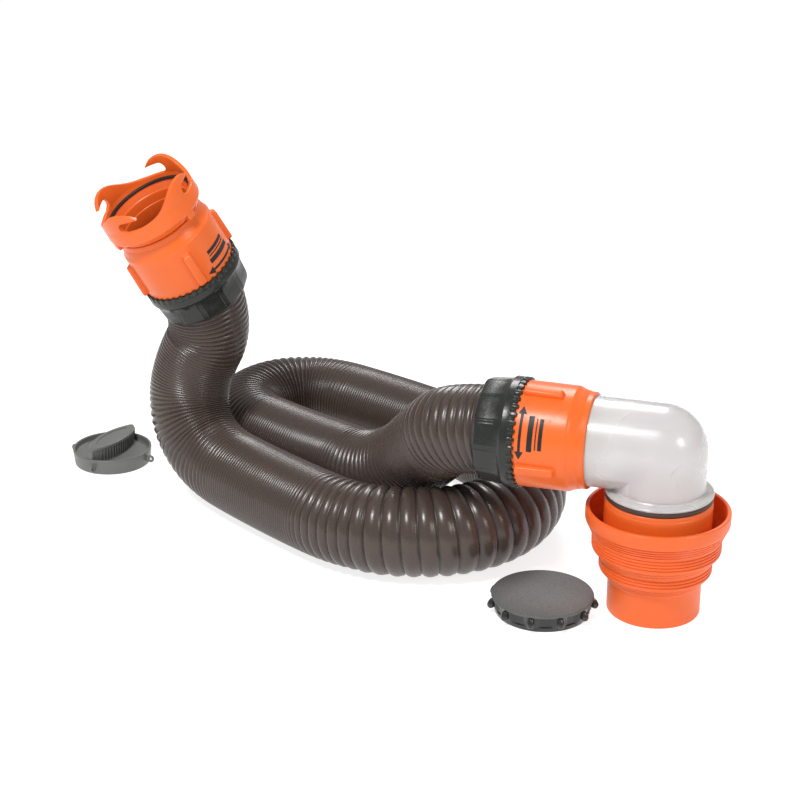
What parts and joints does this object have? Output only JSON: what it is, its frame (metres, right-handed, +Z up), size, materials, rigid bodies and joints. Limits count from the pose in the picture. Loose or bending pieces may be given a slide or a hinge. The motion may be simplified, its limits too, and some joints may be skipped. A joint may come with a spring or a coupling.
{
  "type": "sewer hose kit",
  "caption": "Corrugated waste hose with a swivelling bayonet fitting at one end, a clear elbow with stepped pipe adapter at the other, and two storage caps.",
  "frame": {"origin": "on the floor, at the middle of the footprint of the fittings and caps, the hose left out", "axes": "+Z up; +X from the bayonet fitting towards the elbow; +Y away from the viewer"},
  "size_m": [0.6878, 0.5642, 0.3765],
  "materials": {
    "hose_vinyl": "satin brown-black vinyl, ribbed",
    "orange_plastic": "satin moulded orange",
    "orange_rubber": "soft matt orange",
    "black_plastic": "satin moulded black with a green cast",
    "grey_plastic": "fine-grained dark grey",
    "clear_plastic": "milky translucent",
    "brown_gasket": "dark brown rubber",
    "seal_rubber": "black rubber"
  },
  "bodies": {
    "hose_run": {"hose": "hose_vinyl", "bayonet_collar": "orange_plastic", "bayonet_collet": "black_plastic", "bayonet_hose_seal": "seal_rubber", "bayonet_swivel_seal": "seal_rubber", "elbow_collar": "orange_plastic", "elbow_collet": "black_plastic", "elbow_hose_seal": "seal_rubber", "elbow_swivel_seal": "seal_rubber"},
    "bayonet_lock": {"bayonet_locking_ring": "black_plastic"},
    "elbow_lock": {"elbow_locking_ring": "black_plastic"},
    "bayonet_swivel": {"bayonet_ring": "orange_plastic", "bayonet_gasket": "seal_rubber"},
    "elbow_swivel": {"elbow": "clear_plastic", "elbow_gasket": "brown_gasket"},
    "adapter": {"adapter_sleeve": "orange_plastic", "adapter_bowl": "orange_rubber"},
    "lug_cap_loose": {"lug_cap": "grey_plastic"},
    "bayonet_cap_loose": {"bayonet_cap": "grey_plastic", "bayonet_cap_gasket": "seal_rubber"}
  },
  "joints": [
    {"name": "bayonet_lock_turn", "type": "hinge", "parent": "hose_run", "child": "bayonet_lock", "pos_m": [-0.18086, 0.10759, 0.24027], "axis": [-0.4202, -0.2701, 0.8663], "range_deg": [0, 90]},
    {"name": "elbow_lock_turn", "type": "hinge", "parent": "hose_run", "child": "elbow_lock", "pos_m": [0.13377, -0.12261, 0.1645], "axis": [0.9511, -0.309, 0], "range_deg": [0, 90]},
    {"name": "bayonet_swivel_turn", "type": "hinge", "parent": "hose_run", "child": "bayonet_swivel", "pos_m": [-0.21321, 0.08679, 0.30698], "axis": [-0.4202, -0.2701, 0.8663], "continuous": true},
    {"name": "elbow_swivel_turn", "type": "hinge", "parent": "hose_run", "child": "elbow_swivel", "pos_m": [0.207, -0.14641, 0.1645], "axis": [0.9511, -0.309, 0], "continuous": true},
    {"name": "adapter_turn", "type": "hinge", "parent": "elbow_swivel", "child": "adapter", "pos_m": [0.275, -0.1685, 0.1], "axis": [0, 0, 1], "range_deg": [0, 45]},
    {"name": "lug_cap_lift", "type": "slide", "parent": "hose_run", "child": "lug_cap_loose", "axis": [0, 0, 1], "range_m": [0, 0.1]},
    {"name": "bayonet_cap_lift", "type": "slide", "parent": "hose_run", "child": "bayonet_cap_loose", "axis": [-0.6006, -0.4504, 0.6606], "range_m": [0, 0.1]}
  ]
}
